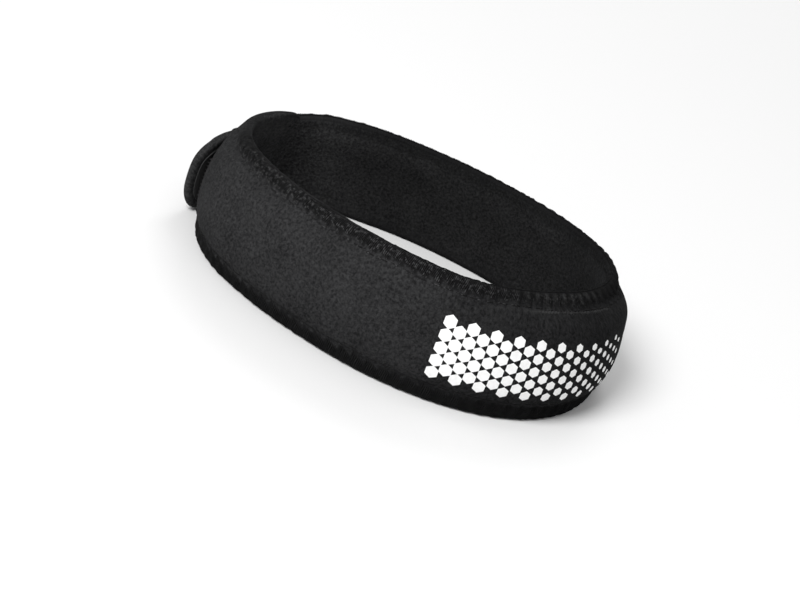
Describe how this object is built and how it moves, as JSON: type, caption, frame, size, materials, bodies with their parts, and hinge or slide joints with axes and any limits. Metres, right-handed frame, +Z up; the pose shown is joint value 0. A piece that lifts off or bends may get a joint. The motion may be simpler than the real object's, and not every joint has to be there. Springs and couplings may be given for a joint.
{
  "type": "patella strap",
  "caption": "Patella strap: a padded knit band closed into an oval loop by a rounded hook-and-loop tab, for wear just below the kneecap.",
  "frame": {"origin": "middle of the part's box at its lower face, on the surface that the strap stands on", "axes": "+X along the long way of the oval loop, towards the end without the tab; +Y towards the back of the loop; +Z up, along the width of the band"},
  "size_m": [0.1436, 0.106, 0.038],
  "materials": {
    "band": "brushed loop-faced knit over foam, matte black",
    "hook_patch": "woven nylon hook tape, black"
  },
  "bodies": {
    "root": {"band": "band", "hook_patch": "hook_patch"}
  },
  "joints": []
}
